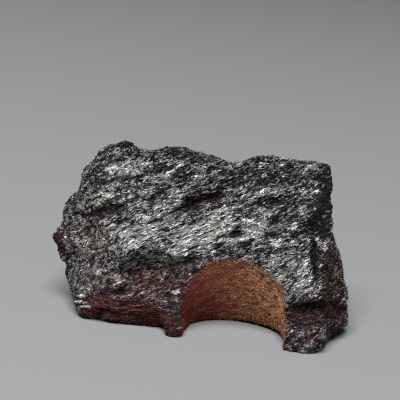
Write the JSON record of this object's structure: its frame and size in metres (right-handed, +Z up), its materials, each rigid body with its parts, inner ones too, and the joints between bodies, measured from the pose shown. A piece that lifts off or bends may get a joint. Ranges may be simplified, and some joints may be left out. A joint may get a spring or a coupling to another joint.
{
  "type": "raw nuummite",
  "caption": "Rough block of dark, fibrous nuummite, split along its grain, with a smooth scoop left by a drill hole in its lower front edge; a natural stone to handle, display or cut.",
  "frame": {"origin": "on the surface that the stone rests on, under the middle of its box", "axes": "+X along the length, to the right as seen from the split front; -Y out of that front; +Z up"},
  "size_m": [0.063, 0.0316, 0.0353],
  "materials": {
    "stone": "broken grain with a silky sparkle"
  },
  "bodies": {
    "root": {"nuummite": "stone"}
  },
  "joints": []
}
